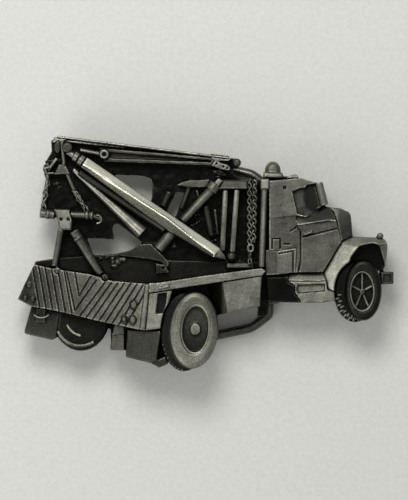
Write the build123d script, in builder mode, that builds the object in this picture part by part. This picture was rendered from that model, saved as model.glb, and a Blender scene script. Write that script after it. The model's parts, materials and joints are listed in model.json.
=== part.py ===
from build123d import *
import os
from math import asin, atan2, cos, degrees, radians, sin

os.makedirs("parts", exist_ok=True)

# A cast pewter belt buckle in the shape of a twin-boom tow truck, lying face up.
# The truck is a high relief: its forms stand on a thin web, each at its own height.
# X runs along the truck, Y up the picture, +Z out of the face. Millimetres.

# ---- Driving sizes ----
stand_height = 7.0        # back of the web above the table
web_wall = 1.6            # thickness of the web
tallest_form = 12.0       # no form stands higher than this above the back
smallest_chip = 0.3       # a cut-off chip of less volume is not cast
edge_break = 0.25         # chamfer round the top of a flat form
crown_facets = 6          # flats on the crown of a tapered bar
wheel_facets = 36         # flats round a wheel
pin_facets = 16           # flats round a pin, knob or lamp
shoulder_steps = 2        # flats on the shoulder of a tyre

groove_width = 0.34       # engraved lines
groove_depth = 0.45
chevron_pitch = 1.55      # between the warning stripes along the tailboard
chevrons_left = 6
chevrons_right = 8

link_length = 1.5         # mast chain
link_width = 1.0
link_wire = 0.28
link_overlap = 0.36       # how far one link reaches into the next
link_rise = 0.7           # links above the strip they lie on

spoke_count = 5
spoke_width = 0.5

wire_radius = 1.15        # bail wire
bail_axis_x = 15.3        # hinge line of the bail
bail_axis_y = 0.6         # middle of the bail
hinge_height = 2.25       # hinge line above the table
bail_reach = 18.3         # hinge line to the middle of the belt bar
bail_half_width = 21.6    # middle of the bail to its outer corners
bail_shoulder = 4.2       # how far out the arms turn
bail_shoulder_half = 18.6
bail_neck_half = 15.4     # where the wire leaves the hinge line
pin_clearance = 0.05      # radial, wire in its lug
lug_inner = 8.8           # lug faces, from the middle of the bail
lug_outer = 12.8
pin_recess = 0.4          # wire end behind the lug's inner face
table_clearance = 0.02    # under the belt bar at rest

stud_x = -31.4            # peg that goes through the belt's holes
stud_radius = 1.8
stud_chamfer = 0.5

web_top = stand_height + web_wall


# ---- Grounds: the outlines of forms and marks, seen from above ----
def ground_of(outline):
    """A closed outline of straight sides."""
    with BuildSketch() as ground:
        with BuildLine():
            Polyline(*outline, close=True)
        make_face()
    return ground.sketch


def oval(centre, radius_x, radius_y, turn, facets):
    """An oval of short flats."""
    steps = [radians(360 * step / facets) for step in range(facets)]
    with BuildSketch() as ground:
        with Locations(centre):
            Polygon(*[(radius_x * cos(step), radius_y * sin(step)) for step in steps], rotation=turn)
    return ground.sketch


def lines(*paths, width=groove_width):
    """Narrow marks that follow paths of straight runs."""
    with BuildSketch() as ground:
        for path in paths:
            for start, end in zip(path, path[1:]):
                run = Vector(*end) - Vector(*start)
                middle = Vector(*start) + run / 2
                with Locations(Location((middle.X, middle.Y, 0), (0, 0, degrees(atan2(run.Y, run.X))))):
                    Rectangle(run.length + width, width)
    return ground.sketch


def dots(radius, *centres):
    """Round marks, drawn as hexagons."""
    with BuildSketch() as ground:
        with Locations(*centres):
            RegularPolygon(radius, 6)
    return ground.sketch


# ---- Ways of building a form ----
def top_through(corners):
    """Plane through three (x, y, height above the back) points."""
    a, b, c = [Vector(x, y, stand_height + height) for x, y, height in corners]
    normal = (b - a).cross(c - a)
    return Plane(origin=a, z_dir=normal if normal.Z > 0 else -normal)


def slab(outline, corners, edge, *cuts):
    """A form whose flat top lies in the plane through three points; each cut is a depth and a ground."""
    top = top_through(corners)
    with BuildPart() as piece:
        with BuildSketch(Plane.XY.offset(web_top)):
            add(ground_of(outline))
        extrude(amount=tallest_form)
        split(bisect_by=top, keep=Keep.BOTTOM)
        if edge:
            chamfer(piece.faces().sort_by(Axis.Z)[-1].edges(), edge)
    for depth, ground in cuts:
        with BuildPart() as cutter:
            with BuildSketch(Plane.XY.offset(web_top)):
                add(ground)
            extrude(amount=2 * tallest_form)
            split(bisect_by=top.offset(-depth), keep=Keep.TOP)
        with BuildPart() as carved:
            add(piece.part)
            add(cutter.part, mode=Mode.SUBTRACT)
        piece = carved
    return piece.part, ground_of(outline)


def bar_section(width, crown, facets):
    """Section of a round-topped bar: straight sides from the web to the spring of its crown."""
    spring = crown - width / 2
    with BuildLine() as section:
        foot = Polyline((-width / 2, spring), (-width / 2, 0), (width / 2, 0), (width / 2, spring))
        if facets:
            turns = [radians(180 * step / facets) for step in range(facets + 1)]
            Polyline(*[(width / 2 * cos(turn), spring + width / 2 * sin(turn)) for turn in turns])
        else:
            ThreePointArc(foot @ 1, (0, crown), foot @ 0)
    return section.line


def bar(start, end, width_start, width_end, top_start, top_end):
    """A round-topped bar with upright sides; one that tapers or slopes has a facetted crown."""
    first, last = Vector(*start), Vector(*end)
    along = (last - first).normalized()
    side = Vector(-along.Y, along.X)
    even = width_start == width_end and top_start == top_end
    with BuildPart() as piece:
        for middle, width, top in ((first, width_start, top_start), (last, width_end, top_end)):
            with BuildSketch(Plane(origin=(middle.X, middle.Y, web_top), x_dir=side, z_dir=along)):
                with BuildLine():
                    add(bar_section(width, top - web_wall, 0 if even else crown_facets))
                make_face()
        loft(ruled=True)
    half_start, half_end = side * (width_start / 2), side * (width_end / 2)
    corners = [first + half_start, first - half_start, last - half_end, last + half_end]
    return piece.part, ground_of([(corner.X, corner.Y) for corner in corners])


def drum(centre, radius_x, radius_y, turn, top, soften, steps=1, facets=pin_facets):
    """An upright oval drum whose shoulder is rounded in a few steps."""
    with BuildPart() as piece:
        with BuildSketch(Plane.XY.offset(web_top)):
            add(oval(centre, radius_x, radius_y, turn, facets))
        extrude(amount=top - soften - web_wall)
        for step in range(steps + 1):
            swing = radians(90 * step / steps)
            inset = soften * (1 - cos(swing))
            with BuildSketch(Plane.XY.offset(stand_height + top - soften * (1 - sin(swing)))):
                add(oval(centre, radius_x - inset, radius_y - inset, turn, facets))
        loft(ruled=True)
    return piece.part, oval(centre, radius_x, radius_y, turn, facets)


def pin(centre, radius, top, edge):
    """A pin, knob or lamp with a chamfered rim."""
    ground = oval(centre, radius, radius, 0, pin_facets)
    with BuildPart() as piece:
        with BuildSketch(Plane.XY.offset(web_top)):
            add(ground)
        extrude(amount=top - web_wall)
        chamfer(piece.faces().sort_by(Axis.Z)[-1].edges(), edge)
    return piece.part, ground


def tyre(centre, radius_x, radius_y, turn, top, soften):
    """A tyre seen aslant, its shoulder fully rounded."""
    return drum(centre, radius_x, radius_y, turn, top, soften, shoulder_steps, wheel_facets)


def dish(centre, radius_x, radius_y, turn, top, floor, lip, hub_x, hub_y, hub_top, spokes):
    """A wheel's pressed disc seen aslant: rim lip, sunk floor, hub and spokes."""
    with BuildPart() as piece:
        with BuildSketch(Plane.XY.offset(web_top)):
            add(oval(centre, radius_x, radius_y, turn, wheel_facets))
        extrude(amount=top - web_wall)
        with BuildSketch(Plane.XY.offset(stand_height + floor)):
            add(oval(centre, radius_x - lip, radius_y - lip, turn, wheel_facets))
        extrude(amount=tallest_form, mode=Mode.SUBTRACT)
        with BuildSketch(Plane.XY.offset(stand_height + floor)):
            add(oval(centre, hub_x, hub_y, turn, pin_facets))
        extrude(amount=hub_top - floor)
        if spokes:
            rays = []
            for spoke in range(spokes):
                angle = radians(90 + 360 * spoke / spokes)
                reach_x, reach_y = (radius_x - lip) * cos(angle), (radius_y - lip) * sin(angle)
                rays.append([centre, (centre[0] + reach_x, centre[1] + reach_y)])
            with BuildSketch(Plane.XY.offset(stand_height + floor)):
                add(lines(*rays, width=spoke_width))
                add(oval(centre, radius_x - lip / 2, radius_y - lip / 2, turn, wheel_facets), mode=Mode.INTERSECT)
            extrude(amount=(top - floor) / 2)
    return piece.part, oval(centre, radius_x, radius_y, turn, wheel_facets)


def flat_link():
    """Ground of a chain link lying flat, along X: a long hexagon with a long opening."""
    rim, hole = link_length / 2, link_length / 2 - link_wire
    side, gap = link_width / 2, link_width / 2 - link_wire
    with BuildSketch() as ground:
        Polygon((-rim, 0), (-rim / 2, -side), (rim / 2, -side), (rim, 0), (rim / 2, side), (-rim / 2, side))
        Polygon((-hole, 0), (-hole / 2, -gap), (hole / 2, -gap), (hole, 0), (hole / 2, gap), (-hole / 2, gap),
                mode=Mode.SUBTRACT)
    return ground.sketch


def chain(start, end, top):
    """A strand whose links lie flat and stand on edge by turns, on a low strip."""
    first, last = Vector(*start), Vector(*end)
    run = last - first
    heading = degrees(atan2(run.Y, run.X))
    pitch = link_length - link_overlap
    count = max(2, round((run.length - link_length) / pitch) + 1)
    middles = [first + run * ((link_length / 2 + number * pitch) / run.length) for number in range(count)]
    places = [Location((middle.X, middle.Y, 0), (0, 0, heading)) for middle in middles]
    with BuildSketch() as strip:
        add(lines([start, end], width=link_width))
    with BuildPart() as piece:
        with BuildSketch(Plane.XY.offset(web_top)):
            add(strip.sketch)
        extrude(amount=top - link_rise - web_wall)
        with BuildSketch(Plane.XY.offset(web_top)):
            with Locations(*places[::2]):
                add(flat_link())
        extrude(amount=top - web_wall)
        with BuildSketch(Plane.XY.offset(web_top)):
            with Locations(*places[1::2]):
                Rectangle(link_length, link_wire)
        extrude(amount=top - web_wall + link_wire)
    return piece.part, strip.sketch


# ---- Engraved marks ----
board_drop = -0.36        # fall of the tailboard's lower edge over one stripe
stripes = [[(-31.4, -4.2), (-30.3, -10.1), (-27.5, -5.4)], [(-33.4, -4.2), (-31.3, -13.6), (-26.2, -6.4)]]
for number in range(chevrons_left):
    top_x = -41.7 + chevron_pitch * number
    stripes.append([(top_x, -2.2 - 0.3 * number), (top_x + 1.9, -12.9 - 0.3 * number)])
for number in range(chevrons_right):
    foot_x, foot_y = -30.1 + chevron_pitch * number, -14.9 + board_drop * number
    stripes.append([(foot_x, foot_y), (foot_x + 6.0, foot_y + 8.0 + 0.3 * number)])

# tail lamps: centre, half width, half height, height above the back
tail_lamps = [
    ((-17.1, -12.4), 0.8, 1.1, 11.0), ((-19.4, -15.4), 0.6, 0.9, 10.7), ((-17.4, -15.7), 0.8, 1.1, 11.1),
    ((-42.3, -7.4), 0.6, 0.8, 6.3), ((-43.3, -10.6), 0.5, 0.7, 6.2), ((-41.5, -10.8), 0.5, 0.7, 6.5),
]

window = [(20.8, 14.9), (22.6, 15.7), (23.8, 15.8), (24.3, 16.4), (26.3, 16.8), (27.5, 11.6), (26.5, 10.3),
          (24.0, 9.0), (21.9, 9.5)]
door_lines = [[(15.2, 8.4), (21.8, 9.1), (21.9, 6.6)],
              [(20.3, 5.4), (21.8, 6.4), (22.7, 5.4), (22.7, -1.6), (22.1, -4.6)],
              [(23.3, 4.0), (31.5, 6.0)], [(15.9, 1.2), (15.9, 3.6), (17.8, 3.6), (17.8, 1.2)],
              [(18.8, 2.3), (20.2, 2.3)]]

# ---- Flat-topped forms ----
# node, outline, three (x, y, height above the back) points of its top, edge chamfer, cuts
slabs = [
    ("corner_post", [(-14.5, -7.2), (-13.4, -7.3), (-14.5, -18.4), (-15.8, -18.2)],
     [(-14.5, -7.2, 11.4), (-13.4, -7.3, 11.4), (-14.5, -18.4, 11.6)], edge_break),
    ("tailboard", [(-41.2, -2.6), (-37.4, -3.5), (-27.8, -5.0), (-22.3, -6.6), (-14.5, -7.2), (-15.8, -18.2),
                   (-25.4, -16.2), (-35.0, -13.9), (-41.9, -12.7), (-45.1, -11.0), (-43.6, -7.6)],
     [(-45.0, -10.0, 5.4), (-14.5, -7.2, 10.7), (-15.8, -18.2, 11.0)], 0, (groove_depth, lines(*stripes))),
    ("side_rail", [(-13.7, -7.1), (-11.3, -7.0), (-1.0, -5.4), (13.4, -3.5), (14.4, -4.2), (13.5, -5.2),
                   (3.9, -6.7), (-2.1, -7.6), (-13.6, -9.4)],
     [(-13.7, -7.1, 11.2), (14.4, -4.2, 8.4), (-13.4, -9.4, 11.4)], 0),
    ("side_rail", [(-11.3, -7.6), (-8.8, -7.3), (-8.7, -8.1), (-11.2, -8.5)],
     [(-11.3, -7.6, 11.3), (-8.8, -7.3, 11.1), (-11.2, -8.5, 11.4)], 0,
     (0.3, ground_of([(-11.0, -7.9), (-9.1, -7.6), (-9.0, -7.8), (-11.0, -8.15)]))),
    ("rear_side_panel", [(-13.6, -9.4), (-7.9, -8.6), (-10.7, -17.9), (-14.5, -18.4)],
     [(-13.9, -9.4, 10.9), (-7.9, -8.8, 10.1), (-14.5, -18.4, 11.0)], edge_break,
     (1.2, ground_of([(-11.4, -9.6), (-9.2, -9.3), (-9.9, -14.2), (-12.0, -14.4)]))),
    ("side_box", [(3.9, -6.7), (13.5, -5.2), (13.0, -12.7), (5.2, -14.3)],
     [(3.9, -6.7, 8.8), (13.5, -5.2, 8.0), (5.2, -14.3, 8.8)], edge_break),
    ("side_box", [(0.4, -7.2), (3.9, -6.7), (5.2, -14.3), (2.7, -14.8)],
     [(0.4, -7.2, 4.2), (3.9, -6.7, 8.6), (5.2, -14.3, 8.6)], 0),
    ("wheel_well", [(-7.9, -8.5), (0.4, -7.2), (2.9, -15.0), (-10.7, -17.9)],
     [(-7.9, -8.5, 3.6), (0.4, -7.2, 3.4), (-10.7, -17.9, 3.6)], 0),
    ("near_mudflap", [(-18.7, -18.2), (-10.7, -18.4), (-11.8, -25.6), (-13.0, -26.3), (-19.2, -24.8)],
     [(-18.7, -18.6, 8.4), (-10.7, -18.6, 9.4), (-19.2, -24.8, 8.2)], edge_break),
    ("near_mudflap", [(-11.8, -25.6), (-9.1, -24.4), (-9.1, -26.5), (-11.3, -27.4), (-13.0, -26.3)],
     [(-11.8, -25.6, 8.2), (-9.1, -24.4, 7.6), (-11.3, -27.4, 8.0)], 0),
    ("far_mudflap", [(-41.9, -12.7), (-35.0, -14.0), (-35.9, -20.3), (-36.9, -20.8), (-43.4, -19.3), (-43.6, -18.6)],
     [(-41.9, -12.7, 4.0), (-35.0, -14.0, 4.6), (-43.4, -19.3, 3.8)], edge_break),
    ("far_mudflap", [(-40.6, -13.0), (-38.4, -13.3), (-38.5, -16.8), (-40.9, -16.6)],
     [(-40.6, -13.0, 5.6), (-38.4, -13.3, 5.8), (-40.9, -16.6, 5.0)], edge_break),
    ("frame_brackets", [(-21.8, -16.6), (-19.4, -17.4), (-19.4, -19.4), (-22.5, -19.6)],
     [(-21.8, -17.2, 6.6), (-19.4, -17.4, 6.8), (-22.5, -19.6, 6.2)], edge_break),
    ("frame_brackets", [(-22.5, -19.6), (-19.4, -19.4), (-19.4, -23.2), (-23.0, -23.2)],
     [(-22.5, -19.8, 5.2), (-19.4, -19.8, 5.6), (-22.5, -23.2, 5.0)], edge_break),
    ("near_boom", [(-28.4, 23.0), (3.4, 1.3), (2.2, -0.5), (-8.6, 8.1), (-18.2, 14.3), (-29.6, 21.2)],
     [(-28.4, 23.0, 8.8), (3.4, 1.3, 8.4), (-18.2, 14.3, 9.3)], 0),
    ("near_boom", [(-29.6, 21.2), (-18.2, 14.3), (-8.6, 8.1), (2.2, -0.5), (1.5, -0.8), (-9.9, 6.0), (-30.0, 20.7)],
     [(-29.6, 21.2, 9.1), (2.2, -0.5, 8.9), (-9.9, 6.0, 7.2)], 0),
    ("near_boom", [(3.4, 1.3), (4.7, -0.5), (5.0, -1.6), (1.5, -0.8), (2.2, -0.5)],
     [(3.4, 1.3, 8.5), (4.7, -0.5, 6.6), (2.2, -0.5, 8.8)], 0),
    ("tow_block", [(-36.4, 10.7), (-32.6, 10.6), (-32.0, 7.7), (-32.2, 5.6), (-35.2, 5.6), (-35.4, 7.6)],
     [(-36.4, 10.7, 7.4), (-32.6, 10.6, 7.6), (-35.2, 5.6, 8.2)], edge_break,
     (0.6, dots(0.4, (-34.7, 8.2), (-32.9, 8.2)))),
    ("gusset_plate", [(-20.6, 0.2), (-18.3, 0.7), (-15.7, 2.2), (-13.2, 2.4), (-9.7, -1.1), (-8.8, -2.3),
                      (-9.1, -3.2), (-10.9, -1.9), (-13.7, -1.3), (-20.6, -0.6)],
     [(-20.6, 0.1, 3.8), (-9.7, -1.1, 5.6), (-13.2, 2.4, 5.0)], 0),
    ("gusset_plate", [(-12.0, -2.4), (-9.8, -2.8), (-8.7, -4.6), (-11.9, -4.9)],
     [(-12.0, -2.4, 5.4), (-9.8, -2.8, 5.6), (-11.9, -4.9, 5.2)], 0,
     (0.8, dots(0.4, (-10.2, -3.4)))),
    ("diagonal_brace", [(3.1, 18.1), (4.1, 17.4), (2.7, 15.6), (0.9, 15.9)],
     [(3.1, 18.1, 7.0), (4.1, 17.4, 7.0), (0.9, 15.9, 7.2)], 0),
    ("mast_crossbar", [(4.2, 17.7), (10.1, 17.6), (10.0, 15.5), (3.0, 15.4)],
     [(4.2, 17.7, 6.4), (10.1, 17.6, 6.4), (3.0, 15.4, 7.4)], edge_break),
    ("tall_post", [(13.1, 17.9), (15.2, 17.9), (15.2, 15.4), (13.1, 15.4)],
     [(13.1, 17.9, 8.2), (15.2, 17.9, 8.2), (13.1, 15.4, 8.4)], edge_break),
    ("mast_base", [(4.9, -2.1), (11.6, -2.1), (11.6, -3.6), (4.9, -3.6)],
     [(4.9, -2.1, 4.6), (11.6, -2.1, 4.6), (4.9, -3.6, 5.0)], edge_break),
    ("far_mast_frame", [(-7.0, 16.4), (-5.9, 17.1), (-4.0, 17.6), (1.0, 17.8), (0.2, 15.9), (-3.8, 15.9)],
     [(-7.0, 16.4, 3.6), (1.0, 17.8, 3.8), (-3.8, 15.9, 3.8)], 0),
    ("head_plates", [(2.2, 22.2), (5.3, 21.2), (5.9, 20.5), (5.6, 19.9), (4.1, 20.1), (1.3, 21.1)],
     [(2.2, 22.2, 6.6), (5.9, 20.5, 6.4), (1.3, 21.1, 6.6)], 0,
     (0.6, dots(0.32, (2.6, 21.6), (4.3, 20.9), (5.2, 20.5)))),
    ("head_plates", [(1.3, 24.0), (5.4, 23.5), (6.2, 22.7), (5.3, 22.1), (2.2, 22.2), (1.3, 22.9)],
     [(1.3, 24.0, 5.6), (6.2, 22.7, 5.6), (1.3, 22.9, 5.6)], 0, (0.6, dots(0.32, (4.3, 22.9)))),
    ("jib_arm", [(-25.4, 25.3), (-11.0, 24.1), (2.9, 22.8), (1.7, 21.1), (-11.0, 21.6), (-24.6, 22.0)],
     [(-25.4, 25.3, 5.2), (2.9, 22.8, 5.6), (-24.6, 22.0, 5.2)], 0,
     (1.3, ground_of([(-23.2, 24.3), (-11.0, 23.4), (1.8, 22.3), (1.2, 21.9), (-11.0, 22.4), (-23.2, 22.9)]))),
    ("sheave_straps", [(-35.2, 21.4), (-33.8, 21.4), (-32.6, 19.1), (-36.4, 19.0)],
     [(-35.2, 21.4, 5.4), (-33.8, 21.4, 5.6), (-36.4, 19.0, 5.2)], 0),
    ("sheave_straps", [(-36.4, 28.0), (-33.6, 27.7), (-33.2, 26.6), (-36.8, 26.6)],
     [(-36.4, 28.0, 5.0), (-33.6, 27.7, 5.2), (-36.8, 26.6, 5.2)], 0),
    ("hook_chains", [(-38.9, 21.2), (-37.9, 21.8), (-37.2, 20.4), (-38.0, 19.0), (-38.3, 20.0)],
     [(-38.9, 21.2, 4.4), (-37.2, 20.4, 4.8), (-38.0, 19.0, 4.4)], 0),
    ("deck_floor", [(-41.0, -1.9), (-37.1, -1.3), (-28.3, -0.5), (-20.6, -0.1), (-9.0, -1.6), (13.5, -2.0),
                    (13.4, -3.5), (-1.0, -5.4), (-14.0, -7.2), (-22.3, -6.6), (-27.8, -5.0), (-41.2, -2.6)],
     [(-41.0, -1.9, 2.6), (13.5, -2.0, 2.8), (-14.0, -7.2, 2.8)], 0),
    ("battery_box", [(14.4, 0.9), (17.25, 0.6), (17.25, -5.0), (14.4, -5.2)],
     [(14.4, 0.9, 7.4), (17.25, 0.6, 9.0), (14.4, -5.2, 7.4)], 0),
    ("battery_box", [(17.25, 0.6), (21.7, 1.3), (21.4, -4.5), (17.25, -5.0)],
     [(17.25, 0.6, 9.0), (21.7, 1.3, 8.8), (17.25, -5.0, 9.0)], 0,
     (groove_depth, lines([(17.5, 0.0), (20.9, 0.6), (20.9, -4.7)]))),
    ("fuel_tank", [(14.5, -5.6), (19.7, -5.4), (19.7, -6.7), (21.3, -7.8), (21.3, -9.4), (22.9, -11.8), (14.9, -11.6)],
     [(14.5, -5.6, 7.6), (19.7, -5.4, 8.8), (14.9, -11.4, 7.6)], edge_break),
    ("cab_step", [(19.7, -6.7), (28.9, -6.6), (29.1, -8.6), (31.1, -9.0), (31.6, -11.2), (27.6, -11.8),
                  (22.9, -11.8), (21.3, -9.4), (21.3, -7.8)],
     [(19.7, -6.8, 8.0), (28.9, -6.6, 7.6), (22.9, -12.1, 8.8)], 0,
     (0.9, ground_of([(22.1, -7.5), (28.6, -7.3), (28.6, -9.0), (22.1, -9.5), (21.7, -8.6)]))),
    ("cab_sill", [(19.7, -4.6), (28.1, -4.4), (28.9, -6.6), (19.7, -6.7)],
     [(19.7, -4.6, 6.8), (28.1, -4.4, 6.4), (19.7, -6.7, 7.6)], 0),
    ("cab_side", [(15.2, 17.4), (22.6, 18.1), (25.3, 17.3), (26.6, 17.0), (27.8, 11.4), (24.0, 8.75), (21.9, 9.1),
                  (15.2, 8.4)],
     [(15.2, 17.4, 7.2), (15.2, 8.4, 8.2), (24.0, 8.75, 8.4)], 0,
     (1.4, ground_of(window)), (0.5, dots(0.45, (18.9, 15.8)))),
    ("cab_side", [(21.9, 9.1), (24.0, 8.75), (27.8, 11.4), (29.8, 11.1), (30.8, 9.2), (31.3, 7.6), (29.3, 7.9),
                  (22.6, 6.8), (21.8, 6.9)],
     [(22.6, 6.8, 8.6), (29.3, 7.9, 8.2), (29.8, 11.1, 6.4)], 0),
    ("cab_side", [(15.2, 8.4), (21.9, 9.1), (21.8, 6.9), (22.6, 6.8), (29.3, 7.9), (31.3, 7.6), (32.4, 2.8),
                  (30.5, -0.4), (28.1, -4.4), (22.1, -4.6), (15.2, -4.6)],
     [(15.2, 8.4, 8.2), (15.2, -4.6, 8.4), (31.3, 7.6, 7.8)], 0, (groove_depth, lines(*door_lines))),
    ("cab_side", [(23.4, 4.7), (25.4, 5.4), (25.5, 5.0), (23.5, 4.3)],
     [(23.4, 4.7, 8.9), (25.4, 5.4, 8.9), (23.5, 4.3, 8.9)], 0),
    ("hood_side", [(29.8, 11.1), (32.0, 10.9), (32.7, 3.0), (32.4, 2.8), (31.3, 7.6), (30.8, 9.2)],
     [(29.8, 11.1, 6.4), (32.0, 10.9, 6.2), (32.4, 2.8, 7.6)], 0),
    ("hood_side", [(32.0, 10.9), (32.5, 10.8), (34.5, 9.9), (34.9, 9.0), (35.3, 4.1), (32.7, 3.0)],
     [(32.0, 10.9, 6.2), (34.9, 9.0, 4.6), (32.7, 3.0, 7.2)], 0),
    ("fender", [(29.0, -8.6), (28.9, -6.6), (28.1, -4.4), (30.5, -0.4), (34.8, -0.8), (33.6, -5.6), (33.4, -8.9),
                (31.9, -9.6)],
     [(29.0, -8.6, 7.4), (30.5, -0.4, 7.4), (33.4, -8.9, 9.2)], 0),
    ("fender", [(30.5, -0.4), (32.4, 2.8), (36.8, 1.8), (34.8, -0.8)],
     [(30.5, -0.4, 7.4), (32.4, 2.8, 7.2), (34.8, -0.8, 9.3)], 0),
    ("fender", [(32.4, 2.8), (35.3, 4.1), (42.6, 3.8), (43.7, 2.4), (41.6, 1.9), (40.1, 2.5), (36.8, 1.8)],
     [(32.4, 2.8, 7.2), (42.6, 3.8, 6.2), (36.8, 1.8, 8.9)], 0),
    ("fender", [(43.7, 2.4), (43.6, 0.4), (43.1, -3.4), (42.6, -1.6), (41.6, 1.9)],
     [(43.7, 2.4, 5.8), (43.1, -3.4, 5.8), (41.6, 1.9, 7.6)], 0),
    ("wheel_arch", [(33.4, -4.0), (34.8, -0.8), (36.8, 1.8), (40.1, 2.5), (41.6, 1.9), (42.6, -1.6), (42.8, -4.0)],
     [(33.4, -4.0, 3.4), (34.8, -0.8, 3.4), (42.8, -4.0, 3.4)], 0),
    ("bumper", [(42.0, -4.4), (45.1, -4.4), (45.1, -7.3), (42.0, -7.4)],
     [(42.0, -4.4, 5.0), (45.1, -4.4, 4.6), (42.0, -7.4, 5.0)], edge_break,
     (0.5, ground_of([(42.6, -5.0), (44.5, -5.0), (44.5, -6.8), (42.6, -6.8)]))),
    ("roof_lights", [(13.7, 18.1), (13.9, 19.5), (18.5, 19.3), (18.5, 18.1)],
     [(13.7, 18.1, 6.8), (18.5, 18.1, 6.8), (13.9, 19.5, 6.6)], edge_break),
    ("roof_lights", [(19.1, 18.0), (20.7, 18.9), (21.7, 19.0), (22.6, 18.0)],
     [(19.1, 18.0, 5.8), (22.6, 18.0, 5.8), (20.7, 18.9, 5.6)], 0),
]

for (x, y), half_width, half_height, top in tail_lamps:
    lens = [(x + half_width * cos(radians(turn)), y + half_height * sin(radians(turn))) for turn in range(30, 390, 60)]
    slabs.append(("tailboard", lens, [(x, y, top), (x + 1, y, top), (x, y + 1, top)], 0))

# ---- Round-topped bars ----
# node, start, end, width at the start and end, height above the back at the start and end
bars = [
    ("boom_links", (-33.2, 24.4), (-31.6, 23.4), 1.3, 1.5, 6.4, 6.8),
    ("boom_links", (-31.6, 23.4), (-30.7, 22.9), 2.3, 2.3, 7.6, 7.6),
    ("boom_links", (-30.7, 22.9), (-30.3, 22.6), 1.7, 1.7, 7.0, 7.0),
    ("boom_links", (-30.3, 22.6), (-29.4, 22.0), 2.5, 2.5, 8.4, 8.4),
    ("near_boom_flank", (-30.2, 19.6), (-9.8, 5.9), 1.8, 1.8, 6.0, 6.4),
    ("far_boom", (-31.8, 20.2), (-15.2, 5.0), 1.2, 3.0, 4.6, 5.0),
    ("stay_rods", (-35.6, 28.0), (5.6, 22.9), 0.6, 0.6, 5.0, 5.6),
    ("stay_rods", (-34.0, 27.0), (-19.6, 25.4), 0.5, 0.5, 4.4, 4.4),
    ("boom_links", (-30.1, 24.8), (-25.6, 23.9), 1.0, 1.0, 6.0, 6.0),
    ("diagonal_brace", (1.8, 15.8), (-5.6, 7.8), 2.2, 1.9, 6.8, 6.2),
    ("diagonal_brace", (-7.4, 6.0), (-11.4, 1.0), 2.6, 2.6, 6.2, 6.0),
    ("diagonal_brace", (2.4, 16.6), (1.2, 15.2), 3.0, 3.0, 7.6, 7.6),
    ("far_mast_frame", (-8.8, 14.8), (-10.3, 11.4), 1.5, 1.5, 3.6, 3.4),
    ("far_mast_frame", (-4.0, 15.9), (-5.9, 10.8), 1.2, 1.2, 3.6, 3.4),
    ("far_mast_frame", (0.0, 11.4), (1.4, 4.2), 1.7, 1.7, 4.4, 4.0),
    ("far_mast_frame", (2.2, 10.6), (2.9, 4.6), 0.8, 0.8, 3.4, 3.2),
    ("far_mast_frame", (-2.2, 15.2), (-1.6, 13.6), 0.7, 0.7, 3.2, 3.0),
    ("mast_posts", (4.7, 15.6), (4.0, 1.0), 0.8, 0.9, 6.6, 6.2),
    ("mast_posts", (7.7, 15.6), (6.3, 0.4), 0.9, 1.1, 6.8, 6.4),
    ("tall_post", (14.1, 15.6), (13.4, -3.3), 1.5, 1.5, 7.6, 7.4),
    ("tow_bar", (-39.8, 9.6), (-36.3, 9.3), 2.0, 2.0, 6.4, 6.8),
    ("tow_bar", (-38.2, 9.5), (-37.6, 9.4), 2.3, 2.3, 6.8, 6.8),
    ("tow_bar", (-32.5, 9.3), (-26.9, 9.1), 1.7, 1.6, 6.8, 6.4),
    ("tow_bar", (-28.9, 9.2), (-28.2, 9.2), 2.2, 2.2, 7.0, 7.0),
    ("tow_bar", (-27.7, 9.1), (-27.1, 9.1), 2.1, 2.1, 6.8, 6.8),
    ("left_leg", (-34.7, 5.8), (-36.3, -3.0), 1.5, 1.3, 8.2, 6.4),
    ("right_leg", (-31.6, 5.4), (-25.3, -5.0), 2.2, 1.8, 8.4, 6.8),
    ("right_leg", (-30.8, 4.0), (-30.4, 3.4), 2.4, 2.4, 8.5, 8.5),
    ("sheave_straps", (-37.8, 19.6), (-38.3, 16.0), 0.8, 0.9, 4.8, 4.6),
    ("sheave_straps", (-33.4, 19.4), (-31.5, 15.0), 0.9, 0.9, 5.2, 4.8),
    ("sheave_straps", (-34.5, 26.8), (-34.0, 21.4), 0.8, 0.8, 6.4, 6.0),
    ("hook_chains", (-27.0, 9.0), (-25.2, 8.2), 0.9, 0.7, 5.6, 5.0),
    ("windscreen_frame", (27.1, 17.0), (28.4, 11.6), 1.9, 2.1, 7.6, 7.8),
]

# ---- Chains ----
# node, start, end, height above the back of the links' tops
chains = [
    ("mast_chain", (10.7, 17.4), (10.6, 2.2), 6.6),
    ("mast_chain", (12.1, 17.2), (11.6, 3.0), 6.0),
    ("mast_chain", (10.65, 2.4), (10.6, -2.0), 6.2),
    ("hook_chains", (-38.3, 16.1), (-39.2, 10.9), 4.8),
    ("hook_chains", (-31.5, 15.0), (-28.6, 10.2), 5.0),
]

# ---- Tyres ----
# node, centre, half width, half height, turn, height above the back, shoulder radius
tyres = [
    ("near_rear_tyre", (-2.9, -18.3), 5.9, 9.3, -4, 10.2, 1.3),
    ("near_rear_tyre", (-5.0, -18.7), 5.9, 9.5, -2, 8.8, 0.6),
    ("front_tyre", (37.8, -8.8), 4.4, 7.3, 0, 7.6, 1.0),
    ("front_tyre", (35.8, -9.2), 5.0, 7.3, 0, 6.4, 0.6),
    ("far_rear_tyre", (-30.0, -15.0), 7.0, 8.4, 0, 4.6, 0.8),
]

# ---- Oval drums ----
# node, centre, half width, half height, turn, height above the back, edge chamfer
drums = [
    ("roof_lights", (16.1, 19.9), 1.9, 2.2, 0, 6.2, 0.9),
    ("boom_sheaves", (-35.5, 25.6), 0.8, 1.5, 0, 5.6, 0.2),
]

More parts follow.
